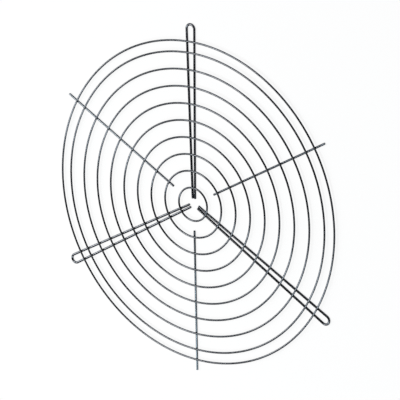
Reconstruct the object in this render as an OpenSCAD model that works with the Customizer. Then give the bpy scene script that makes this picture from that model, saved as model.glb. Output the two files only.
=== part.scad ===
// Wire fan guard: concentric wire rings welded across looped mounting arms and straight support ribs.
// The guard lies in the XY plane with the fan axis on +Z and its back, the side against the fan, at Z = 0.
// Arms and ribs are level at their front, where every ring is pressed into each of them at its weld.

/* [Rings] */
// Number of evenly pitched rings inside the rim
ring_count = 9; // [4:1:12]
// Radius of the first ring, and the step from each ring to the next
ring_pitch = 20; // [16:0.5:26]
// Step from the last pitched ring to the rim ring
rim_gap = 13; // [8:0.5:20]
// Diameter of the wire that the rings are bent from
ring_wire = 2.2; // [1.4:0.1:3]

/* [Mounting arms] */
// Number of looped arms, evenly spaced round the axis
arm_count = 3; // [3:1:5]
// Diameter of the wire that the arms are folded from
arm_wire = 2.8; // [2:0.1:4]
// Radius of the circle round the axis that the arms leave free
arm_free_radius = 6.5; // [5.5:0.5:12]
// Gap between the two legs of an arm at its cut ends
leg_gap = 0.5; // [0.3:0.1:1.5]
// Clear width of the eye in the round end of an arm, for its fixing screw
eye_width = 7.8; // [5.5:0.1:12]
// Reach of an arm beyond the centre line of the rim, to the outside of its loop
arm_reach = 21; // [17:0.5:32]

/* [Support ribs] */
// Diameter of the wire of the straight ribs midway between the arms
rib_wire = 2.5; // [1.6:0.1:4]
// Number, counted from the axis, of the innermost ring that a rib carries
rib_first_ring = 2; // [2:1:3]
// Reach of a rib inside the centre line of that ring
rib_tail = 7.2; // [3:0.1:12]
// Reach of a rib beyond the centre line of the rim
rib_reach = 14; // [4:0.5:24]

/* [Welds and cut ends] */
// Depth to which a ring is pressed into each wire that it crosses
weld_sink = 0.4; // [0.1:0.05:0.6]
// Bevel that cropping leaves on the cut end of a wire
cut_bevel = 0.3; // [0.1:0.05:0.5]

/* [Quality] */
// Flat sides round the section of a wire
wire_facets = 32; // [16:4:64]
// Flat sides round a full turn of bent wire
ring_facets = 180; // [90:10:360]

/* [Hidden] */
QUARTER_TURN = 90;
FULL_TURN = 360;
FIRST_ARM_ANGLE = 90;
RING_COLOUR = [0.47, 0.49, 0.52];
ARM_COLOUR = [0.27, 0.28, 0.30];
RIB_COLOUR = [0.38, 0.41, 0.45];

rim_index = ring_count + 1;
arm_spacing = FULL_TURN / arm_count;

// Heights of the wires' centre lines; the thicker of arm and rib touches the back plane
carrier_front = max(arm_wire, rib_wire);
arm_height = carrier_front - arm_wire / 2;
rib_height = carrier_front - rib_wire / 2;
ring_height = carrier_front + ring_wire / 2 - weld_sink;

// The legs of an arm spread from the gap at their cut ends until they meet the loop as tangents
loop_radius = (eye_width + arm_wire) / 2;
leg_offset = (leg_gap + arm_wire) / 2;
eye_centre = ring_radius(rim_index) + arm_reach - arm_wire / 2 - loop_radius;
eye_distance = eye_centre - arm_free_radius;
leg_spread = asin(loop_radius / norm([eye_distance, leg_offset])) - atan2(leg_offset, eye_distance);
leg_length = eye_distance * cos(leg_spread) - leg_offset * sin(leg_spread);

rib_start = ring_radius(rib_first_ring) - rib_tail;
rib_length = ring_radius(rim_index) + rib_reach - rib_start;

function ring_name(index) = str("ring_", index);
function arm_name(index) = str("mounting_arm_", index);
function rib_name(index) = str("support_rib_", index);

// Radius of a ring's centre line; the index after the last pitched ring is the rim
function ring_radius(index) = index < rim_index ? index * ring_pitch : ring_count * ring_pitch + rim_gap;

function arm_angle(index) = FIRST_ARM_ANGLE + (index - 1) * arm_spacing;
function rib_angle(index) = arm_angle(index) + arm_spacing / 2;

// Half the lengthwise section of a straight wire that starts at Y = 0, with a bevel at each cut end
function wire_section(diameter, length) = [
    [0, 0],
    [diameter / 2 - cut_bevel, 0],
    [diameter / 2, cut_bevel],
    [diameter / 2, length - cut_bevel],
    [diameter / 2 - cut_bevel, length],
    [0, length],
];

// Straight wire along +X
module straight_wire(diameter, length) {
    rotate([0, QUARTER_TURN, 0])
        rotate_extrude($fn = wire_facets)
            polygon(wire_section(diameter, length));
}

// Round section of a wire at a radius from the centre of its bend
module wire_profile(diameter, radius) {
    translate([radius, 0])
        circle(d = diameter, $fn = wire_facets);
}

// Wire bent to an arc about Z, closed to a full ring by default
module bent_wire(diameter, radius, start = 0, sweep = FULL_TURN) {
    rotate_extrude(angle = sweep, start = start, $fn = ring_facets)
        wire_profile(diameter, radius);
}

module ring_body(index) {
    translate([0, 0, ring_height])
        bent_wire(ring_wire, ring_radius(index));
}

// Takes the seats of the rings, from the given one out to the rim, out of the wire that they cross
module weld_seats(first_ring) {
    difference() {
        children();
        for (index = [first_ring:rim_index])
            ring_body(index);
    }
}

// Leg of an arm, back along -X from the section where its loop starts to the bevelled cut end
module arm_leg() {
    bevel_start = leg_length - cut_bevel;
    rotate([QUARTER_TURN, 0, -QUARTER_TURN]) {
        linear_extrude(bevel_start)
            wire_profile(arm_wire, loop_radius);
        translate([loop_radius, 0, bevel_start])
            cylinder(h = cut_bevel, d1 = arm_wire, d2 = arm_wire - 2 * cut_bevel, $fn = wire_facets);
    }
}

// Half of an arm about the eye's centre: a leg and the loop from its tangent point, cut off at the middle
module half_arm() {
    difference() {
        rotate(-leg_spread) {
            arm_leg();
            bent_wire(arm_wire, loop_radius, -QUARTER_TURN, QUARTER_TURN + 2 * leg_spread);
        }
        translate([0, 0, -arm_wire])
            cube([loop_radius + arm_wire, loop_radius, 2 * arm_wire]);
    }
}

// One wire folded into two legs, with the eye for the screw inside its round end
module folded_wire() {
    translate([eye_centre, 0, 0]) {
        half_arm();
        mirror([0, 1, 0])
            half_arm();
    }
}

module ring(index) {
    color(RING_COLOUR)
        ring_body(index);
}

module mounting_arm(index) {
    color(ARM_COLOUR)
        weld_seats(1)
            rotate(arm_angle(index))
                translate([0, 0, arm_height])
                    folded_wire();
}

module support_rib(index) {
    color(RIB_COLOUR)
        weld_seats(rib_first_ring)
            rotate(rib_angle(index))
                translate([rib_start, 0, rib_height])
                    straight_wire(rib_wire, rib_length);
}

for (index = [1:ring_count])
    ring(index);
ring(rim_index);  // rim_ring
for (index = [1:arm_count])
    mounting_arm(index);
for (index = [1:arm_count])
    support_rib(index);
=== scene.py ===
"""Wire fan guard of dark plated wire: ten rings welded on three looped mounting arms and three support ribs.

Each wire is swept along its own path by Geometry Nodes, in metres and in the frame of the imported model, with
the marks that drawing, cropping and resistance welding leave on such a guard.
"""

import logging
import math
from dataclasses import dataclass
from enum import Enum

import bpy
from mathutils import Matrix, Vector


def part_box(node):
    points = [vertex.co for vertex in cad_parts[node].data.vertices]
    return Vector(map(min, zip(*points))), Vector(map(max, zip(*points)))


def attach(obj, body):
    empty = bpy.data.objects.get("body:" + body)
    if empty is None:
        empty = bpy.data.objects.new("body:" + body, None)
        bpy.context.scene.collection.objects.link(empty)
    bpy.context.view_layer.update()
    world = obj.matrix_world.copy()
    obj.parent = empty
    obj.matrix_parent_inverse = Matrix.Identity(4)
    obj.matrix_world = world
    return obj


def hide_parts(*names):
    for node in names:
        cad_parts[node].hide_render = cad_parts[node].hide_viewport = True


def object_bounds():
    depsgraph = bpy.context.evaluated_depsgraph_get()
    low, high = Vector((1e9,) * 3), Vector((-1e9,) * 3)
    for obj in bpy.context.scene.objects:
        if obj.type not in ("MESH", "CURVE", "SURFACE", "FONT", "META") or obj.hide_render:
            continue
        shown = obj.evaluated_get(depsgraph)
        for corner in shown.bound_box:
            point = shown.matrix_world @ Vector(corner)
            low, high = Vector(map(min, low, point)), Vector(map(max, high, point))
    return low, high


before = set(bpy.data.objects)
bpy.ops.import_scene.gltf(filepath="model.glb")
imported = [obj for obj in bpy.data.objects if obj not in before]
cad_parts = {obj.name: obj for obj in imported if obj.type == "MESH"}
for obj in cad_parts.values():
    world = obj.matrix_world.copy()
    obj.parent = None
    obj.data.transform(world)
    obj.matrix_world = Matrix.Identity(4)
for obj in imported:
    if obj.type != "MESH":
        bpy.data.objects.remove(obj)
CAD_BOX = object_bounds()

LOG = logging.getLogger("fan_guard")
BODY = "root"
MM = 0.001
FULL_TURN = 2 * math.pi
QUAD_CORNERS = 4
FLAT_CORE = 0.4  # share of a pressed flat's reach over which it has its full depth
SEAM_LUMPS = 0.9 * MM
SEAM_SUBDIVISIONS = 3
RING_NODES = [*(f"ring_{number}" for number in range(1, 10)), "rim_ring"]

Colour = tuple[float, float, float]
Feed = float | int | bool | str | tuple | bpy.types.NodeSocket


class Slot(Enum):
    """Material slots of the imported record."""

    RING = "ring_wire"
    ARM = "arm_wire"
    RIB = "rib_wire"


class Mark(Enum):
    """Attributes that the swept wires carry for their finish."""

    SECTION = "wire_section"
    WELD = "weld_nearness"
    # This attribute holds a painted sheen: the share of lighter colour that makes some arms and ribs look more
    # brightly lit.
    PAINTED_SHEEN = "painted_sheen"
    CUT = "cut_face"


class NodeSheet:
    """A node tree under construction, with short calls that add and link its nodes."""

    def __init__(self, tree: bpy.types.NodeTree) -> None:
        """Starts an empty sheet on a tree."""
        self.tree = tree
        tree.nodes.clear()

    def feed(self, socket: bpy.types.NodeSocket, value: Feed) -> None:
        """Links another node's output to a socket, or sets the socket's own value.

        Args:
            socket: the input that is fed.
            value: an output socket or a plain value.
        """
        if isinstance(value, bpy.types.NodeSocket):
            self.tree.links.new(value, socket)
        else:
            socket.default_value = value

    def add(self, kind: str, inputs: dict[str, Feed] | None = None, **settings: object) -> bpy.types.Node:
        """Adds a node and feeds its inputs.

        Args:
            kind: Blender's name for the type of node.
            inputs: what feeds each input, by the name that the node shows for it.
            settings: values of the node's own properties.

        Returns:
            The new node.
        """
        node = self.tree.nodes.new(kind)
        for name, value in settings.items():
            setattr(node, name, value)
        for name, value in (inputs or {}).items():
            shown = next(socket for socket in node.inputs if socket.enabled and socket.name == name)
            self.feed(shown, value)
        return node

    def math(self, operation: str, *values: Feed) -> bpy.types.NodeSocket:
        """Adds a Math node.

        Args:
            operation: the operation's name.
            values: what feeds its inputs, in order.

        Returns:
            The node's result.
        """
        node = self.tree.nodes.new("ShaderNodeMath")
        node.operation = operation
        for socket, value in zip(node.inputs, values):
            self.feed(socket, value)
        return node.outputs[0]

    def vector(self, operation: str, *values: Feed) -> bpy.types.NodeSocket:
        """Adds a Vector Math node whose result is a vector.

        Args:
            operation: the operation's name.
            values: what feeds its inputs, in order.

        Returns:
            The node's result.
        """
        node = self.tree.nodes.new("ShaderNodeVectorMath")
        node.operation = operation
        for socket, value in zip(node.inputs, values):
            self.feed(socket, value)
        return node.outputs[0]

    def ramp(
        self, value: Feed, low: Feed, high: Feed, start: Feed = 0.0, end: Feed = 1.0
    ) -> bpy.types.NodeSocket:
        """Turns a value between two limits smoothly into another range.

        Args:
            value: what is mapped.
            low: value that gives the start of the range.
            high: value that gives its end.
            start: result at and below the low value.
            end: result at and above the high value.

        Returns:
            The mapped value.
        """
        limits = {"Value": value, "From Min": low, "From Max": high, "To Min": start, "To Max": end}
        return self.add("ShaderNodeMapRange", limits, interpolation_type="SMOOTHSTEP").outputs["Result"]


class GrowthTree(NodeSheet):
    """A Geometry Nodes tree with named inputs, which grows plain meshes for the pieces of the guard."""

    def __init__(self, name: str) -> None:
        """Starts a tree whose first input is the path that a piece starts from.

        Args:
            name: the tree's name.
        """
        super().__init__(bpy.data.node_groups.new(name, "GeometryNodeTree"))
        self.entry = self.tree.nodes.new("NodeGroupInput")
        self.keys: dict[str, str] = {}
        self.path = self.entrance("Path", "NodeSocketGeometry")
        self.material = self.entrance("Material", "NodeSocketMaterial")

    def entrance(self, name: str, kind: str) -> bpy.types.NodeSocket:
        """Adds a named input to the tree.

        Args:
            name: the input's name.
            kind: its type of socket.

        Returns:
            The socket that brings its value into the tree.
        """
        item = self.tree.interface.new_socket(name, in_out="INPUT", socket_type=kind)
        self.keys[name] = item.identifier
        return self.entry.outputs[name]

    def length(self, name: str) -> bpy.types.NodeSocket:
        """Adds a named input for a length, an angle or a share."""
        return self.entrance(name, "NodeSocketFloat")

    def count(self, name: str) -> bpy.types.NodeSocket:
        """Adds a named input for a whole number."""
        return self.entrance(name, "NodeSocketInt")

    def place(self) -> tuple[bpy.types.NodeSocket, bpy.types.NodeSocket, bpy.types.NodeSocket]:
        """Splits each point's place.

        Returns:
            Its X, Y and Z.
        """
        position = self.tree.nodes.new("GeometryNodeInputPosition")
        split = self.add("ShaderNodeSeparateXYZ", {"Vector": position.outputs[0]})
        return split.outputs["X"], split.outputs["Y"], split.outputs["Z"]

    def axis_distance(self) -> bpy.types.NodeSocket:
        """Gives each point's distance from the guard's axis."""
        x, y, _ = self.place()
        return self.math("SQRT", self.math("ADD", self.math("MULTIPLY", x, x), self.math("MULTIPLY", y, y)))

    def put(self, geometry: bpy.types.NodeSocket, x: Feed, y: Feed, z: Feed) -> bpy.types.NodeSocket:
        """Moves every point of a geometry.

        Args:
            geometry: what is moved.
            x: new X of each point.
            y: new Y of each point.
            z: new Z of each point.

        Returns:
            The moved geometry.
        """
        target = self.add("ShaderNodeCombineXYZ", {"X": x, "Y": y, "Z": z})
        moved = self.add("GeometryNodeSetPosition", {"Geometry": geometry, "Position": target.outputs[0]})
        return moved.outputs[0]

    def store(
        self, geometry: bpy.types.NodeSocket, mark: Mark, value: Feed, **kind: str
    ) -> bpy.types.NodeSocket:
        """Stores a named attribute that the finishes read.

        Args:
            geometry: the mesh that gets the attribute.
            mark: which attribute it is.
            value: the attribute's value.
            kind: the data type and the domain.

        Returns:
            The mesh with the attribute.
        """
        inputs = {"Geometry": geometry, "Name": mark.value, "Value": value}
        return self.add("GeometryNodeStoreNamedAttribute", inputs, **kind).outputs[0]

    def sweep(
        self, path: bpy.types.NodeSocket, radius: Feed, sides: Feed, swell: Feed
    ) -> bpy.types.NodeSocket:
        """Sweeps the round section of a wire along a path.

        Args:
            path: centre line of the wire, as a curve.
            radius: radius of the wire.
            sides: sides of its section.
            swell: share of the radius that the wire has along its length.

        Returns:
            The wire's skin, closed at cut ends, with its place in the section stored.
        """
        circle = self.add("GeometryNodeCurvePrimitiveCircle", {"Resolution": sides, "Radius": radius})
        position = self.tree.nodes.new("GeometryNodeInputPosition")
        kept = self.tree.nodes.new("GeometryNodeCaptureAttribute")
        kept.capture_items.new("VECTOR", "Section")
        self.feed(kept.inputs["Geometry"], circle.outputs["Curve"])
        self.feed(kept.inputs["Section"], position.outputs[0])
        parts = {"Curve": path, "Profile Curve": kept.outputs["Geometry"], "Scale": swell, "Fill Caps": True}
        skin = self.add("GeometryNodeCurveToMesh", parts).outputs["Mesh"]
        skin = self.store(
            skin, Mark.SECTION, kept.outputs["Section"], data_type="FLOAT_VECTOR", domain="POINT"
        )
        corners = self.tree.nodes.new("GeometryNodeInputMeshFaceNeighbors").outputs["Vertex Count"]
        cut = self.math("GREATER_THAN", corners, QUAD_CORNERS)
        skin = self.store(skin, Mark.CUT, cut, data_type="FLOAT", domain="FACE")
        smooth = self.math("LESS_THAN", corners, QUAD_CORNERS + 1)
        inputs = {"Geometry": skin, "Shade Smooth": smooth}
        return self.add("GeometryNodeSetShadeSmooth", inputs).outputs[0]

    def finish(self, geometry: bpy.types.NodeSocket) -> None:
        """Ends the tree with plain geometry in its material.

        Args:
            geometry: what the tree has grown.
        """
        plain = self.add("GeometryNodeRealizeInstances", {"Geometry": geometry}).outputs[0]
        dressed = self.add("GeometryNodeSetMaterial", {"Geometry": plain, "Material": self.material})
        self.tree.interface.new_socket("Geometry", in_out="OUTPUT", socket_type="NodeSocketGeometry")
        self.add("NodeGroupOutput", {"Geometry": dressed.outputs[0]})

    def grow(
        self,
        name: str,
        material: bpy.types.Material,
        sizes: dict[str, float | int],
        path: tuple[Vector, ...] = (),
    ) -> bpy.types.Object:
        """Grows one piece and leaves it as a plain mesh.

        Args:
            name: the piece's name.
            material: its finish.
            sizes: values of the tree's inputs, by name.
            path: points of the centre line that it starts from, or none where the tree makes its own.

        Returns:
            The piece, with its place in its mesh.
        """
        line = bpy.data.meshes.new(name)
        line.from_pydata(path, [(index, index + 1) for index in range(len(path) - 1)], [])
        seed = bpy.data.objects.new(name + "_seed", line)
        bpy.context.scene.collection.objects.link(seed)
        modifier = seed.modifiers.new("Growth", "NODES")
        modifier.node_group = self.tree
        modifier[self.keys["Material"]] = material
        for key, value in sizes.items():
            modifier[self.keys[key]] = value
        depsgraph = bpy.context.evaluated_depsgraph_get()
        mesh = bpy.data.meshes.new_from_object(seed.evaluated_get(depsgraph), depsgraph=depsgraph)
        seed.modifiers.remove(modifier)
        bpy.data.objects.remove(seed)
        bpy.data.meshes.remove(line)
        mesh.name = name
        mesh.materials.clear()  # a primitive inside the tree brings an empty slot with it
        mesh.materials.append(material)
        piece = bpy.data.objects.new(name, mesh)
        bpy.context.scene.collection.objects.link(piece)
        return piece


@dataclass(frozen=True)
class PlatedWire:
    """Dark plating over cold-drawn steel wire, with its drawing lines, stains and dull welds."""

    name: str
    colour: Colour
    stain: Colour
    # Lighter colour of a painted sheen, mixed in where some arms and ribs should look more brightly lit.
    stain_and_sheen: Colour
    edge: Colour = (0.25, 0.26, 0.28)
    roughness: float = 0.14
    line_spacing: float = 0.16 * MM
    line_reach: float = 14 * MM
    line_depth: float = 0.0016 * MM
    stain_size: float = 7 * MM
    grain_size: float = 0.25 * MM
    grain_depth: float = 0.001 * MM
    weld_shade: float = 0.55
    weld_dulling: float = 0.22
    cut_dulling: float = 0.15
    stain_dulling: float = 0.05
    stain_limits: tuple[float, float] = (0.38, 0.68)
    line_limits: tuple[float, float] = (0.3, 0.7)
    line_gloss: float = 0.05
    line_dulling: float = 0.06

    def noise(self, sheet: NodeSheet, place: Feed, size: float, detail: float = 3.0) -> bpy.types.NodeSocket:
        """Adds a noise whose features have about the given size.

        Args:
            sheet: the material's sheet.
            place: coordinates that it reads, in metres.
            size: size of its features, in metres.
            detail: how many finer layers it has.

        Returns:
            The noise, from 0 to 1.
        """
        inputs = {"Vector": place, "Scale": 1 / size, "Detail": detail}
        return sheet.add("ShaderNodeTexNoise", inputs).outputs["Fac"]

    def drawing_lines(self, sheet: NodeSheet, place: Feed) -> bpy.types.NodeSocket:
        """Adds the fine lines that the drawing die leaves along a wire.

        Args:
            sheet: the material's sheet.
            place: the object's coordinates.

        Returns:
            The lines' height, from 0 to 1.
        """
        section = sheet.add("ShaderNodeAttribute", attribute_name=Mark.SECTION.value).outputs["Vector"]
        across = sheet.vector("SCALE", section)
        across.node.inputs["Scale"].default_value = 1 / self.line_spacing
        along = sheet.vector("SCALE", place)
        along.node.inputs["Scale"].default_value = 1 / self.line_reach
        return self.noise(sheet, sheet.vector("ADD", across, along), 1.0, 2.0)

    def material(self) -> bpy.types.Material:
        """Builds the material.

        Returns:
            The material, which reads the marks of the swept wires.
        """
        material = bpy.data.materials.new(self.name)
        material.use_nodes = True
        sheet = NodeSheet(material.node_tree)
        place = sheet.tree.nodes.new("ShaderNodeTexCoord").outputs["Object"]
        lines = self.drawing_lines(sheet, place)
        stains = self.noise(sheet, place, self.stain_size)
        grain = self.noise(sheet, place, self.grain_size, 2.0)
        weld = sheet.add("ShaderNodeAttribute", attribute_name=Mark.WELD.value).outputs["Fac"]
        cut = sheet.add("ShaderNodeAttribute", attribute_name=Mark.CUT.value).outputs["Fac"]

        stained = sheet.ramp(stains, *self.stain_limits)
        stain_and_sheen = sheet.math("MAXIMUM", sheet.math("MULTIPLY", weld, self.weld_shade), stained)
        base = sheet.add(
            "ShaderNodeMix",
            {"Factor": stain_and_sheen, "A": (*self.colour, 1.0), "B": (*self.stain, 1.0)},
            data_type="RGBA",
        )
        # Painted sheen: the lighter colour is mixed in by the stored sheen share, so that chosen arms and ribs
        # look lit more brightly.
        sheen_amount = sheet.add("ShaderNodeAttribute", attribute_name=Mark.PAINTED_SHEEN.value).outputs["Fac"]
        base = sheet.add(
            "ShaderNodeMix",
            {"Factor": sheen_amount, "A": base.outputs["Result"], "B": (*self.stain_and_sheen, 1.0)},
            data_type="RGBA",
        )
        glossy = self.roughness - self.line_gloss
        dull = self.roughness + self.line_dulling
        rough = sheet.ramp(lines, *self.line_limits, glossy, dull)
        rough = sheet.math("ADD", rough, sheet.math("MULTIPLY", stained, self.stain_dulling))
        rough = sheet.math("ADD", rough, sheet.math("MULTIPLY", weld, self.weld_dulling))
        rough = sheet.math("ADD", rough, sheet.math("MULTIPLY", cut, self.cut_dulling))

        fine = sheet.add(
            "ShaderNodeBump", {"Height": grain, "Strength": 1.0, "Distance": self.grain_depth}
        ).outputs["Normal"]
        bump = sheet.add(
            "ShaderNodeBump", {"Height": lines, "Strength": 1.0, "Distance": self.line_depth, "Normal": fine}
        ).outputs["Normal"]
        surface = sheet.add(
            "ShaderNodeBsdfPrincipled",
            {"Base Color": base.outputs["Result"], "Metallic": 1.0, "Roughness": rough, "Normal": bump},
        )
        surface.inputs["Specular Tint"].default_value = (*self.edge, 1.0)
        sheet.add("ShaderNodeOutputMaterial", {"Surface": surface.outputs[0]})
        return material


@dataclass(frozen=True)
class PaleFloor:
    """Pale floor that shows as white to the camera and in the plating, and keeps a faint shadow."""

    glow: float = 0.88
    shown: float = 0.1
    albedo: float = 0.8

    def material(self) -> bpy.types.Material:
        """Builds the material.

        Returns:
            The material, which glows where it is seen and only reflects where it lights the guard.
        """
        material = bpy.data.materials.new("pale_floor")
        material.use_nodes = True
        sheet = NodeSheet(material.node_tree)
        light_path = sheet.tree.nodes.new("ShaderNodeLightPath").outputs
        seen = sheet.math("MAXIMUM", light_path["Is Camera Ray"], light_path["Is Glossy Ray"])
        seen = sheet.math("MAXIMUM", seen, light_path["Is Transmission Ray"])
        lit = sheet.add("ShaderNodeBsdfDiffuse", {"Color": (self.albedo,) * 3 + (1.0,)})
        shade = sheet.add("ShaderNodeBsdfDiffuse", {"Color": (self.shown,) * 3 + (1.0,)})
        glow = sheet.add("ShaderNodeEmission", {"Strength": self.glow})
        white = sheet.tree.nodes.new("ShaderNodeAddShader")
        sheet.feed(white.inputs[0], shade.outputs[0])
        sheet.feed(white.inputs[1], glow.outputs[0])
        mixed = sheet.tree.nodes.new("ShaderNodeMixShader")
        sheet.feed(mixed.inputs[0], seen)
        sheet.feed(mixed.inputs[1], lit.outputs[0])
        sheet.feed(mixed.inputs[2], white.outputs[0])
        sheet.add("ShaderNodeOutputMaterial", {"Surface": mixed.outputs[0]})
        return material


@dataclass(frozen=True)
class GuardSizes:
    """Sizes of the guard's wires, in metres, read from the frame."""

    ring_radii: tuple[float, ...]
    ring_wire: float
    ring_height: float
    arm_wire: float
    arm_height: float
    rib_wire: float
    rib_height: float
    loop_radius: float
    eye_centre: float
    rib_start: float
    rib_end: float
    arm_start: float
    leg_gap: float = 0.5 * MM
    cut_bevel: float = 0.3 * MM
    first_arm: float = math.radians(90)
    first_rib: float = math.radians(150)
    carriers: int = 3

    @classmethod
    def from_frame(cls) -> "GuardSizes":
        """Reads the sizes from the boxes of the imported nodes.

        Returns:
            The sizes.
        """
        ring_low, ring_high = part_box("rim_ring")
        arm_low, arm_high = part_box("mounting_arm_1")
        rib_low, rib_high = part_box("support_rib_2")
        ring_wire = ring_high.z - ring_low.z
        arm_wire = arm_high.z - arm_low.z
        outsides = [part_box(name)[1].x for name in RING_NODES]
        loop_radius = (arm_high.x - arm_low.x - arm_wire) / 2
        return cls(
            ring_radii=tuple(outside - ring_wire / 2 for outside in outsides),
            ring_wire=ring_wire,
            ring_height=(ring_low.z + ring_high.z) / 2,
            arm_wire=arm_wire,
            arm_height=(arm_low.z + arm_high.z) / 2,
            rib_wire=rib_high.x - rib_low.x,
            rib_height=(rib_low.z + rib_high.z) / 2,
            loop_radius=loop_radius,
            eye_centre=arm_high.y - arm_wire / 2 - loop_radius,
            rib_start=-rib_high.y,
            rib_end=-rib_low.y,
            arm_start=arm_low.y,
        )

    @property
    def spacing(self) -> float:
        """Angle from one arm or rib to the next."""
        return FULL_TURN / self.carriers

    @property
    def leg_offset(self) -> float:
        """Distance of a leg's centre line from the middle of its arm at the cut end."""
        return (self.leg_gap + self.arm_wire) / 2

    @property
    def leg_spread(self) -> float:
        """Angle by which a leg leaves the middle of its arm until it meets the loop as a tangent."""
        reach = self.eye_centre - self.arm_start
        to_loop = math.asin(self.loop_radius / math.hypot(reach, self.leg_offset))
        return to_loop - math.atan2(self.leg_offset, reach)

    def leg_crossing(self, radius: float) -> float:
        """Distance of a leg from the middle of its arm where it crosses a ring of the given radius."""
        return self.leg_offset + (radius - self.arm_start) * math.tan(self.leg_spread)

    def seam_height(self, carrier_height: float, carrier_wire: float) -> float:
        """Finds the height of the welds between the rings and a wire that carries them.

        Args:
            carrier_height: height of that wire's centre line.
            carrier_wire: its diameter.

        Returns:
            The height midway between the rings' back and the wire's front.
        """
        ring_back = self.ring_height - self.ring_wire / 2
        carrier_front = carrier_height + carrier_wire / 2
        return (ring_back + carrier_front) / 2


class WireTree(GrowthTree):
    """Sweeps a cut wire along its path, with rounded ends and pressed flats at its welds."""

    def __init__(self) -> None:
        """Builds the tree with its named inputs."""
        super().__init__("Cut wire")
        radius = self.length("Wire Radius")
        sides = self.count("Sides")
        bevel = self.length("Cut Bevel")
        back = self.length("Back Height")
        flat_depth = self.length("Flat Depth")
        flat_reach = self.length("Flat Reach")
        pitch = self.length("Ring Pitch")
        first = self.length("First Ring")
        last = self.length("Last Pitched Ring")
        rim = self.length("Rim Radius")
        sheen_amount = self.length("Sheen Amount")
        sheen_start = self.length("Sheen Start Radius")
        stain_and_sheen = self.length("Sheen Radius")
        line = self.add("GeometryNodeMeshToCurve", {"Mesh": self.path}).outputs["Curve"]
        skin = self.sweep(line, radius, sides, self.rounded_ends(radius, bevel))
        nearness = self.weld_nearness(pitch, first, last, rim, flat_reach)
        skin = self.store(skin, Mark.WELD, nearness, data_type="FLOAT", domain="POINT")
        # Painted sheen: its share rises from nothing at the inner radius to the given amount at the outer one.
        amount = self.ramp(self.axis_distance(), sheen_start, stain_and_sheen, 0.0, sheen_amount)
        skin = self.store(skin, Mark.PAINTED_SHEEN, amount, data_type="FLOAT", domain="POINT")
        x, y, z = self.place()
        floor = self.math("MULTIPLY_ADD", nearness, flat_depth, back)
        self.finish(self.put(skin, x, y, self.math("MAXIMUM", z, floor)))

    def rounded_ends(self, radius: Feed, bevel: Feed) -> bpy.types.NodeSocket:
        """Gives the share of its radius that a wire has along its length.

        Args:
            radius: radius of the wire.
            bevel: radius of the round at each cut end.

        Returns:
            The share, 1 away from the ends.
        """
        distance = self.tree.nodes.new("GeometryNodeSplineParameter").outputs["Length"]
        line = self.tree.nodes.new("GeometryNodeSplineLength").outputs["Length"]
        from_end = self.math("MINIMUM", distance, self.math("SUBTRACT", line, distance))
        short = self.math("MAXIMUM", self.math("SUBTRACT", bevel, from_end), 0.0)
        bevel_square = self.math("MULTIPLY", bevel, bevel)
        square = self.math("SUBTRACT", bevel_square, self.math("MULTIPLY", short, short))
        drop = self.math("SUBTRACT", bevel, self.math("SQRT", self.math("MAXIMUM", square, 0.0)))
        return self.math("SUBTRACT", 1.0, self.math("DIVIDE", drop, radius))

    def weld_nearness(
        self, pitch: Feed, first: Feed, last: Feed, rim: Feed, reach: Feed
    ) -> bpy.types.NodeSocket:
        """Gives 1 where a ring crosses and 0 beyond a reach from it.

        Args:
            pitch: step from ring to ring.
            first: number of the innermost ring that crosses.
            last: number of the last ring before the rim.
            rim: radius of the rim.
            reach: distance at which it has fallen to 0.

        Returns:
            The nearness.
        """
        radius = self.axis_distance()
        number = self.math("ROUND", self.math("DIVIDE", radius, pitch))
        number = self.math("MINIMUM", self.math("MAXIMUM", number, first), last)
        pitched = self.math("ABSOLUTE", self.math("SUBTRACT", radius, self.math("MULTIPLY", number, pitch)))
        outer = self.math("ABSOLUTE", self.math("SUBTRACT", radius, rim))
        nearest = self.math("MINIMUM", pitched, outer)
        return self.ramp(nearest, self.math("MULTIPLY", reach, FLAT_CORE), reach, 1.0, 0.0)


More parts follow.
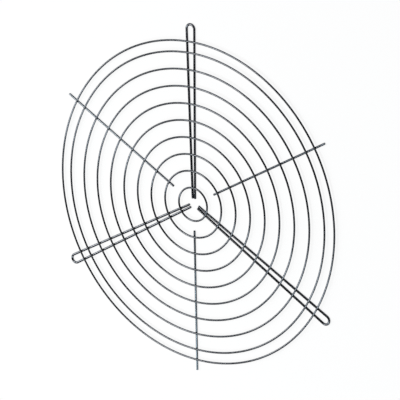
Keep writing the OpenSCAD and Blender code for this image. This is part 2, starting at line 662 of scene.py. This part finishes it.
class RingTree(GrowthTree):
    """Bends a wire to a closed ring, with its butt weld and pressed flats where it is welded on."""

    def __init__(self) -> None:
        """Builds the tree with its named inputs."""
        super().__init__("Bent ring")
        ring = self.length("Ring Radius")
        radius = self.length("Wire Radius")
        height = self.length("Ring Height")
        segments = self.count("Segments")
        sides = self.count("Sides")
        joint = self.length("Joint Angle")
        joint_swell = self.length("Joint Swell")
        joint_reach = self.length("Joint Reach")
        crowding = self.length("Crowding")
        flat_depth = self.length("Flat Depth")
        flat_reach = self.length("Flat Reach")
        first_arm = self.length("First Arm Angle")
        first_rib = self.length("First Rib Angle")
        spacing = self.length("Spacing")
        leg = self.length("Leg Crossing")
        rib_away = self.length("Rib Away")
        circle = self.add("GeometryNodeCurvePrimitiveCircle", {"Resolution": segments, "Radius": ring})
        line = self.crowded(circle.outputs["Curve"], ring, height, crowding, first_rib, spacing)
        x, y, _ = self.place()
        angle = self.math("ARCTAN2", y, x)
        away = self.math("MULTIPLY", self.off(angle, joint, FULL_TURN), ring)
        swell = self.ramp(away, 0.0, joint_reach, self.math("ADD", 1.0, joint_swell), 1.0)
        skin = self.sweep(line, radius, sides, swell)
        from_arm = self.math("MULTIPLY", self.off(angle, first_arm, spacing), ring)
        from_leg = self.math("ABSOLUTE", self.math("SUBTRACT", from_arm, leg))
        from_rib = self.math("MULTIPLY_ADD", self.off(angle, first_rib, spacing), ring, rib_away)
        nearest = self.math("MINIMUM", from_leg, from_rib)
        near = self.ramp(nearest, self.math("MULTIPLY", flat_reach, FLAT_CORE), flat_reach, 1.0, 0.0)
        skin = self.store(skin, Mark.WELD, near, data_type="FLOAT", domain="POINT")
        x, y, z = self.place()
        top = self.math("SUBTRACT", self.math("ADD", height, radius), self.math("MULTIPLY", near, flat_depth))
        z = self.math("MAXIMUM", self.math("MINIMUM", z, top), self.math("SUBTRACT", height, radius))
        self.finish(self.put(skin, x, y, z))

    def off(self, angle: Feed, start: Feed, step: Feed) -> bpy.types.NodeSocket:
        """Gives the angle to the nearest of a row of places round the axis.

        Args:
            angle: the angle of a point.
            start: angle of one of the places.
            step: angle from place to place.

        Returns:
            The angle between them, never negative.
        """
        half = self.math("MULTIPLY", step, 0.5)
        turned = self.math("SUBTRACT", angle, start)
        return self.math("ABSOLUTE", self.math("WRAP", turned, half, self.math("MULTIPLY", half, -1.0)))

    def crowded(
        self, circle: Feed, ring: Feed, height: Feed, crowding: Feed, first: Feed, spacing: Feed
    ) -> bpy.types.NodeSocket:
        """Draws the points of a circle together at its welds, where the wire changes its section.

        Args:
            circle: the circle as a curve.
            ring: its radius.
            height: its height over the back of the guard.
            crowding: share by which the points draw together.
            first: angle of one weld.
            spacing: angle between arms, which is twice the angle from weld to weld.

        Returns:
            The moved circle.
        """
        x, y, _ = self.place()
        angle = self.math("ARCTAN2", y, x)
        waves = self.math("DIVIDE", 2 * FULL_TURN, spacing)
        phase = self.math("MULTIPLY", self.math("SUBTRACT", angle, first), waves)
        shift = self.math("DIVIDE", self.math("MULTIPLY", self.math("SINE", phase), crowding), waves)
        turned = self.math("SUBTRACT", angle, shift)
        across = self.math("MULTIPLY", self.math("COSINE", turned), ring)
        along = self.math("MULTIPLY", self.math("SINE", turned), ring)
        return self.put(circle, across, along, height)


class SeamTree(GrowthTree):
    """Sets the lens of squeezed-out metal between a carrying wire and each ring that it is welded to."""

    def __init__(self) -> None:
        """Builds the tree with its named inputs."""
        super().__init__("Weld seams")
        count = self.count("Ring Count")
        rows = self.count("Rows")
        first = self.length("First Ring")
        pitch = self.length("Ring Pitch")
        rim = self.length("Rim Radius")
        offset = self.length("Line Offset")
        start = self.length("Line Start")
        spread = self.length("Line Spread")
        height = self.length("Seam Height")
        long = self.length("Seam Length")
        wide = self.length("Seam Width")
        thick = self.length("Seam Thickness")
        ragged = self.length("Raggedness")
        turn = self.length("Turn")
        seed = self.length("Seed")
        total = self.math("MULTIPLY", count, rows)
        points = self.add("GeometryNodeMeshLine", {"Count": total})
        index = self.tree.nodes.new("GeometryNodeInputIndex").outputs[0]
        ring = self.math("MODULO", index, count)
        second_row = self.math("GREATER_THAN", index, self.math("SUBTRACT", count, 0.5))
        side = self.math("SUBTRACT", 1.0, self.math("MULTIPLY", second_row, 2.0))
        is_rim = self.math("GREATER_THAN", ring, self.math("SUBTRACT", count, 1.5))
        pitched = self.math("MULTIPLY", self.math("ADD", ring, first), pitch)
        to_rim = self.math("MULTIPLY", is_rim, self.math("SUBTRACT", rim, pitched))
        radius = self.math("ADD", pitched, to_rim)
        sine = self.math("SINE", spread)
        cosine = self.math("COSINE", spread)
        offset_across = self.math("MULTIPLY", offset, cosine)
        away = self.math("SUBTRACT", offset_across, self.math("MULTIPLY", start, sine))
        away_square = self.math("MULTIPLY", away, away)
        along_square = self.math("SUBTRACT", self.math("MULTIPLY", radius, radius), away_square)
        along = self.math("SQRT", along_square)
        x = self.math("SUBTRACT", self.math("MULTIPLY", along, cosine), self.math("MULTIPLY", away, sine))
        y = self.math("ADD", self.math("MULTIPLY", along, sine), self.math("MULTIPLY", away, cosine))
        y = self.math("MULTIPLY", y, side)
        placed = self.put(points.outputs[0], x, y, height)
        lens = self.add("GeometryNodeMeshIcoSphere", {"Radius": 1.0, "Subdivisions": SEAM_SUBDIVISIONS})
        size = self.add("ShaderNodeCombineXYZ", {"X": long, "Y": wide, "Z": thick})
        row = self.add(
            "GeometryNodeInstanceOnPoints",
            {"Points": placed, "Instance": lens.outputs["Mesh"], "Scale": size.outputs[0]},
        )
        angle = self.add("ShaderNodeCombineXYZ", {"Z": turn})
        turned = self.add(
            "GeometryNodeTransform", {"Geometry": row.outputs[0], "Rotation": angle.outputs[0]}
        )
        plain = self.add("GeometryNodeRealizeInstances", {"Geometry": turned.outputs[0]}).outputs[0]
        noise = self.add(
            "ShaderNodeTexNoise", {"W": seed, "Scale": 1 / SEAM_LUMPS, "Detail": 2.0}, noise_dimensions="4D"
        )
        middle = self.vector("SUBTRACT", noise.outputs["Color"], (0.5, 0.5, 0.5))
        shift = self.vector("SCALE", middle)
        self.feed(shift.node.inputs["Scale"], ragged)
        rough = self.add("GeometryNodeSetPosition", {"Geometry": plain, "Offset": shift})
        smooth = self.add("GeometryNodeSetShadeSmooth", {"Geometry": rough.outputs[0]}).outputs[0]
        self.finish(self.store(smooth, Mark.WELD, 1.0, data_type="FLOAT", domain="POINT"))


def ride_in_place(piece: bpy.types.Object, slot: Slot, *nodes: str) -> None:
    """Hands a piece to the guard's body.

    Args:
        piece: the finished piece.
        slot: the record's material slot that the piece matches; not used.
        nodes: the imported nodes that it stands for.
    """
    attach(piece, BODY)
    if nodes:
        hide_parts(*nodes)
    LOG.info("%s: %d faces", piece.name, len(piece.data.polygons))


@dataclass
class RingSet:
    """The nine pitched rings and the rim, each bent from one wire and closed by a butt weld."""

    sizes: GuardSizes
    finish: PlatedWire
    sides: int = 20
    fewest_segments: int = 288
    segment_step: int = 12
    segment_length: float = 2.6 * MM
    crowding: float = 0.72
    joint_swell: float = 0.035
    joint_reach: float = 1.6 * MM
    joint_turn: float = math.radians(60)
    joint_stagger: float = math.radians(9)
    flat_depth: float = 0.05 * MM
    flat_reach: float = 2.2 * MM
    no_rib: float = 1.0

    def segments(self, radius: float) -> int:
        """Number of straight steps round a ring, in whole steps that suit its welds."""
        wanted = FULL_TURN * radius / self.segment_length / self.segment_step
        return max(self.fewest_segments, self.segment_step * math.ceil(wanted))

    def joint(self, number: int) -> float:
        """Angle of a ring's butt weld, midway between welds and staggered from ring to ring."""
        return number * self.joint_turn + self.joint_stagger * (number % 3 - 1)

    def build(self) -> None:
        """Builds the rings and hands each to the guard."""
        tree = RingTree()
        material = self.finish.material()
        for number, (node, radius) in enumerate(zip(RING_NODES, self.sizes.ring_radii)):
            below_ribs = radius < self.sizes.rib_start
            piece = tree.grow(
                f"{node}_wire",
                material,
                {
                    "Ring Radius": radius,
                    "Wire Radius": self.sizes.ring_wire / 2,
                    "Ring Height": self.sizes.ring_height,
                    "Segments": self.segments(radius),
                    "Sides": self.sides,
                    "Joint Angle": self.joint(number),
                    "Joint Swell": self.joint_swell,
                    "Joint Reach": self.joint_reach,
                    "Crowding": self.crowding,
                    "Flat Depth": self.flat_depth,
                    "Flat Reach": self.flat_reach,
                    "First Arm Angle": self.sizes.first_arm,
                    "First Rib Angle": self.sizes.first_rib,
                    "Spacing": self.sizes.spacing,
                    "Leg Crossing": self.sizes.leg_crossing(radius),
                    "Rib Away": self.no_rib if below_ribs else 0.0,
                },
            )
            ride_in_place(piece, Slot.RING, node)


def cut_end(start: Vector, towards: Vector, bevel: float) -> list[Vector]:
    """Points at a wire's cut end, close enough together for its rounded edge.

    Args:
        start: the end's centre.
        towards: direction of the wire, of unit length.
        bevel: radius of the round.

    Returns:
        The points from the end inwards.
    """
    steps = (0.0, 0.08, 0.3, 0.62, 1.0)
    return [start + towards * (bevel * step) for step in steps]


def straight(start: Vector, end: Vector, step: float) -> list[Vector]:
    """Even points on a straight stretch, without its ends.

    Args:
        start: where it starts.
        end: where it ends.
        step: longest step between points.

    Returns:
        The points between the two ends.
    """
    count = math.ceil((end - start).length / step)
    return [start.lerp(end, index / count) for index in range(1, count)]


def standing(points: list[Vector], angle: float, height: float) -> tuple[Vector, ...]:
    """Turns a path about the axis and lifts it to its height.

    Args:
        points: the path along +X, at height 0.
        angle: its turn about the axis.
        height: its height over the back of the guard.

    Returns:
        The path in its place.
    """
    place = Matrix.Translation((0, 0, height)) @ Matrix.Rotation(angle, 4, "Z")
    return tuple(place @ point for point in points)


@dataclass
class MountingArms:
    """The arms, each one wire folded into two legs with a screw eye in its round end."""

    sizes: GuardSizes
    finish: PlatedWire
    tree: WireTree
    seams: SeamTree
    sides: int = 24
    leg_step: float = 0.7 * MM
    loop_steps: int = 48
    flat_depth: float = 0.05 * MM
    flat_reach: float = 2.0 * MM
    seam_length: float = 1.35 * MM
    seam_width: float = 1.5 * MM
    seam_thickness: float = 0.55 * MM
    raggedness: float = 0.35 * MM
    # Painted sheen on each arm: the share of lighter colour that makes it look more brightly lit, full from
    # this radius outwards.
    sheen_amount: tuple[float, ...] = (0.0, 0.3, 0.0)
    sheen_radius: float = 20 * MM

    def path(self) -> list[Vector]:
        """Draws the centre line of an arm that reaches along +X.

        Returns:
            Its points, from one cut end round the eye to the other.
        """
        sizes = self.sizes
        eye = Vector((sizes.eye_centre, 0, 0))
        start = Vector((sizes.arm_start, -sizes.leg_offset, 0))
        turn = math.pi / 2 + sizes.leg_spread
        loop = [
            eye + sizes.loop_radius * Vector((math.cos(angle), math.sin(angle), 0))
            for angle in (turn * (2 * step / self.loop_steps - 1) for step in range(self.loop_steps + 1))
        ]
        along = (loop[0] - start).normalized()
        end = cut_end(start, along, sizes.cut_bevel)
        leg = end + straight(end[-1], loop[0], self.leg_step)
        back = [Vector((point.x, -point.y, 0)) for point in reversed(leg)]
        return leg + loop + back

    def build(self) -> None:
        """Builds the arms and their weld seams and hands them to the guard."""
        sizes = self.sizes
        material = self.finish.material()
        path = self.path()
        pitch = sizes.ring_radii[0]
        for number in range(sizes.carriers):
            node = f"mounting_arm_{number + 1}"
            angle = sizes.first_arm + number * sizes.spacing
            arm = self.tree.grow(
                f"{node}_wire",
                material,
                {
                    "Wire Radius": sizes.arm_wire / 2,
                    "Sides": self.sides,
                    "Cut Bevel": sizes.cut_bevel,
                    "Back Height": sizes.arm_height - sizes.arm_wire / 2,
                    "Flat Depth": self.flat_depth,
                    "Flat Reach": self.flat_reach,
                    "Ring Pitch": pitch,
                    "First Ring": 1.0,
                    "Last Pitched Ring": len(sizes.ring_radii) - 1.0,
                    "Rim Radius": sizes.ring_radii[-1],
                    "Sheen Amount": self.sheen_amount[number],
                    "Sheen Start Radius": 0.0,
                    "Sheen Radius": self.sheen_radius,
                },
                standing(path, angle, sizes.arm_height),
            )
            ride_in_place(arm, Slot.ARM, node)
            seams = self.seams.grow(
                f"{node}_welds",
                material,
                {
                    "Ring Count": len(sizes.ring_radii),
                    "Rows": 2,
                    "First Ring": 1.0,
                    "Ring Pitch": pitch,
                    "Rim Radius": sizes.ring_radii[-1],
                    "Line Offset": sizes.leg_offset,
                    "Line Start": sizes.arm_start,
                    "Line Spread": sizes.leg_spread,
                    "Seam Height": sizes.seam_height(sizes.arm_height, sizes.arm_wire),
                    "Seam Length": self.seam_length,
                    "Seam Width": self.seam_width,
                    "Seam Thickness": self.seam_thickness,
                    "Raggedness": self.raggedness,
                    "Turn": angle,
                    "Seed": float(number),
                },
            )
            ride_in_place(seams, Slot.ARM)


@dataclass
class SupportRibs:
    """The straight ribs midway between the arms."""

    sizes: GuardSizes
    finish: PlatedWire
    tree: WireTree
    seams: SeamTree
    sides: int = 24
    step: float = 0.7 * MM
    flat_depth: float = 0.05 * MM
    flat_reach: float = 2.0 * MM
    seam_length: float = 1.35 * MM
    seam_width: float = 1.4 * MM
    seam_thickness: float = 0.55 * MM
    raggedness: float = 0.35 * MM
    first_seed: int = 10
    # Painted sheen on each rib: the share of lighter colour that makes it look more brightly lit, rising
    # outwards from the rib's inner end.
    sheen_amount: tuple[float, ...] = (0.3, 0.75, 0.0)
    sheen_radius: float = 100 * MM

    def path(self) -> list[Vector]:
        """Draws the centre line of a rib that reaches along +X.

        Returns:
            Its points, from the inner cut end to the outer one.
        """
        inner = Vector((self.sizes.rib_start, 0, 0))
        outer = Vector((self.sizes.rib_end, 0, 0))
        along = Vector((1, 0, 0))
        start = cut_end(inner, along, self.sizes.cut_bevel)
        end = cut_end(outer, -along, self.sizes.cut_bevel)
        return start + straight(start[-1], end[-1], self.step) + end[::-1]

    def build(self) -> None:
        """Builds the ribs and their weld seams and hands them to the guard."""
        sizes = self.sizes
        material = self.finish.material()
        path = self.path()
        pitch = sizes.ring_radii[0]
        first_ring = sum(radius < sizes.rib_start for radius in sizes.ring_radii) + 1
        for number in range(sizes.carriers):
            node = f"support_rib_{number + 1}"
            angle = sizes.first_rib + number * sizes.spacing
            rib = self.tree.grow(
                f"{node}_wire",
                material,
                {
                    "Wire Radius": sizes.rib_wire / 2,
                    "Sides": self.sides,
                    "Cut Bevel": sizes.cut_bevel,
                    "Back Height": sizes.rib_height - sizes.rib_wire / 2,
                    "Flat Depth": self.flat_depth,
                    "Flat Reach": self.flat_reach,
                    "Ring Pitch": pitch,
                    "First Ring": float(first_ring),
                    "Last Pitched Ring": len(sizes.ring_radii) - 1.0,
                    "Rim Radius": sizes.ring_radii[-1],
                    "Sheen Amount": self.sheen_amount[number],
                    "Sheen Start Radius": sizes.rib_start,
                    "Sheen Radius": self.sheen_radius,
                },
                standing(path, angle, sizes.rib_height),
            )
            ride_in_place(rib, Slot.RIB, node)
            seams = self.seams.grow(
                f"{node}_welds",
                material,
                {
                    "Ring Count": len(sizes.ring_radii) - first_ring + 1,
                    "Rows": 1,
                    "First Ring": float(first_ring),
                    "Ring Pitch": pitch,
                    "Rim Radius": sizes.ring_radii[-1],
                    "Line Offset": 0.0,
                    "Line Start": sizes.rib_start,
                    "Line Spread": 0.0,
                    "Seam Height": sizes.seam_height(sizes.rib_height, sizes.rib_wire),
                    "Seam Length": self.seam_length,
                    "Seam Width": self.seam_width,
                    "Seam Thickness": self.seam_thickness,
                    "Raggedness": self.raggedness,
                    "Turn": angle,
                    "Seed": float(self.first_seed + number),
                },
            )
            ride_in_place(seams, Slot.RIB)


@dataclass(frozen=True)
class SoftLamp:
    """A long soft box that faces the guard and lies square to the wires that it lights from end to end."""

    name: str
    azimuth: float
    elevation: float
    wires: float
    width: float
    length: float
    power: float
    colour: Colour = (1.0, 1.0, 1.0)
    distance: float = 2.5

    def hang(self) -> None:
        """Hangs the lamp over the floor, out of the camera's sight."""
        light = bpy.data.lights.new(self.name, "AREA")
        light.shape = "RECTANGLE"
        light.size = self.width
        light.size_y = self.length
        light.energy = self.power
        light.color = self.colour
        lamp = bpy.data.objects.new(self.name, light)
        bpy.context.scene.collection.objects.link(lamp)
        towards = direction(self.azimuth, self.elevation)
        lengthwise = direction(self.wires, 0).cross(towards).normalized()
        axes = Matrix((lengthwise.cross(towards), lengthwise, towards)).transposed()
        lamp.location = towards * self.distance
        lamp.rotation_mode = "QUATERNION"
        lamp.rotation_quaternion = axes.to_quaternion()
        lamp.visible_camera = False


def direction(azimuth: float, elevation: float) -> Vector:
    """Unit vector from the guard to a place that stands at an azimuth and an elevation.

    Args:
        azimuth: angle from +X towards +Y, in degrees.
        elevation: angle over the floor, in degrees.

    Returns:
        The direction.
    """
    turn = math.radians(azimuth)
    rise = math.radians(elevation)
    return Vector((math.cos(turn) * math.cos(rise), math.sin(turn) * math.cos(rise), math.sin(rise)))


@dataclass(frozen=True)
class PictureCamera:
    """The camera, over the floor on a long lens and tilted on its side."""

    aim: Vector
    azimuth: float = 30.16
    elevation: float = 49.49
    distance: float = 2.6008
    roll: float = -114.96
    lens: float = 204.5
    sensor: float = 36.0

    def stand(self) -> None:
        """Sets the camera up as the scene's own."""
        data = bpy.data.cameras.new("picture_camera")
        data.sensor_width = self.sensor
        data.lens = self.lens
        data.clip_start = 0.01
        data.clip_end = 100.0
        camera = bpy.data.objects.new("picture_camera", data)
        bpy.context.scene.collection.objects.link(camera)
        back = direction(self.azimuth, self.elevation)
        level = back.to_track_quat("Z", "Y").to_matrix()
        roll = Matrix.Rotation(math.radians(self.roll), 3, "Z")
        camera.rotation_mode = "QUATERNION"
        camera.rotation_quaternion = (level @ roll).to_quaternion()
        camera.location = self.aim + back * self.distance
        bpy.context.scene.camera = camera


@dataclass
class Studio:
    """A pale floor under soft lamps and a sky that is bright on the far side of the guard."""

    floor: PaleFloor
    lamps: tuple[SoftLamp, ...]
    camera: PictureCamera
    floor_side: float = 24.0
    bright_azimuth: float = 153.0
    bright_elevation: float = 22.0
    bright: Colour = (0.85, 0.88, 0.92)
    dark: Colour = (0.02, 0.021, 0.023)
    lobe: tuple[float, float] = (0.75, 0.98)
    haze: tuple[float, float] = (0.05, 0.2)

    def lay_floor(self) -> None:
        """Lays the floor under the guard."""
        half = self.floor_side / 2
        height = CAD_BOX[0].z
        corners = [(-half, -half, height), (half, -half, height), (half, half, height), (-half, half, height)]
        mesh = bpy.data.meshes.new("floor")
        mesh.from_pydata(corners, [], [(0, 1, 2, 3)])
        mesh.materials.append(self.floor.material())
        floor = bpy.data.objects.new("floor", mesh)
        bpy.context.scene.collection.objects.link(floor)

    def paint_sky(self) -> None:
        """Shades the sky from its bright side to its dark side."""
        world = bpy.data.worlds.new("studio_sky")
        bpy.context.scene.world = world
        world.use_nodes = True
        sheet = NodeSheet(world.node_tree)
        ray = sheet.tree.nodes.new("ShaderNodeTexCoord").outputs["Generated"]
        bright = sheet.add("ShaderNodeVectorMath", operation="DOT_PRODUCT")
        sheet.feed(bright.inputs[0], ray)
        bright.inputs[1].default_value = direction(self.bright_azimuth, self.bright_elevation)
        height = sheet.add("ShaderNodeSeparateXYZ", {"Vector": ray}).outputs["Z"]
        haze = sheet.ramp(height, *self.haze, 1.0, 0.0)
        share = sheet.math("MAXIMUM", sheet.ramp(bright.outputs["Value"], *self.lobe), haze)
        colour = sheet.add(
            "ShaderNodeMix",
            {"Factor": share, "A": (*self.dark, 1.0), "B": (*self.bright, 1.0)},
            data_type="RGBA",
        )
        sky = sheet.add("ShaderNodeBackground", {"Color": colour.outputs["Result"], "Strength": 1.0})
        sheet.add("ShaderNodeOutputWorld", {"Surface": sky.outputs[0]})

    def set_up(self) -> None:
        """Sets up the floor, the sky, the lamps and the camera."""
        bpy.context.scene.view_settings.view_transform = "Standard"
        self.lay_floor()
        self.paint_sky()
        for lamp in self.lamps:
            lamp.hang()
        self.camera.stand()
        LOG.info("studio: %d lamps", len(self.lamps))


def main() -> None:
    """Dresses the guard and sets up the studio."""
    logging.basicConfig(level=logging.INFO, format="%(name)s %(message)s")
    studio = Studio(
        floor=PaleFloor(),
        lamps=(
            SoftLamp("far_box", azimuth=159, elevation=61, wires=169, width=0.86, length=1.6, power=42),
            SoftLamp("low_box", azimuth=181, elevation=33, wires=222, width=0.7, length=1.2, power=20),
            SoftLamp(
                "cool_box", azimuth=259, elevation=57, wires=66, width=0.68, length=1.5, power=33,
                colour=(0.86, 0.95, 1.0),
            ),
        ),
        camera=PictureCamera(aim=Vector((0.0103, 0.0073, 0.0037))),
    )
    studio.set_up()
    sizes = GuardSizes.from_frame()
    # The third colour of each finish is the lighter colour of a painted sheen.
    ring_finish = PlatedWire(
        "ring_plating", colour=(0.090, 0.095, 0.102), stain=(0.075, 0.080, 0.087), stain_and_sheen=(0.17, 0.18, 0.195)
    )
    arm_finish = PlatedWire(
        "arm_plating", colour=(0.090, 0.095, 0.103), stain=(0.072, 0.077, 0.084), stain_and_sheen=(0.17, 0.18, 0.195)
    )
    rib_finish = PlatedWire(
        "rib_plating", colour=(0.090, 0.099, 0.109), stain=(0.074, 0.082, 0.092), stain_and_sheen=(0.17, 0.20, 0.22)
    )
    wire_tree = WireTree()
    seam_tree = SeamTree()
    RingSet(sizes, ring_finish).build()
    MountingArms(sizes, arm_finish, wire_tree, seam_tree).build()
    SupportRibs(sizes, rib_finish, wire_tree, seam_tree).build()


if __name__ == "__main__":
    main()
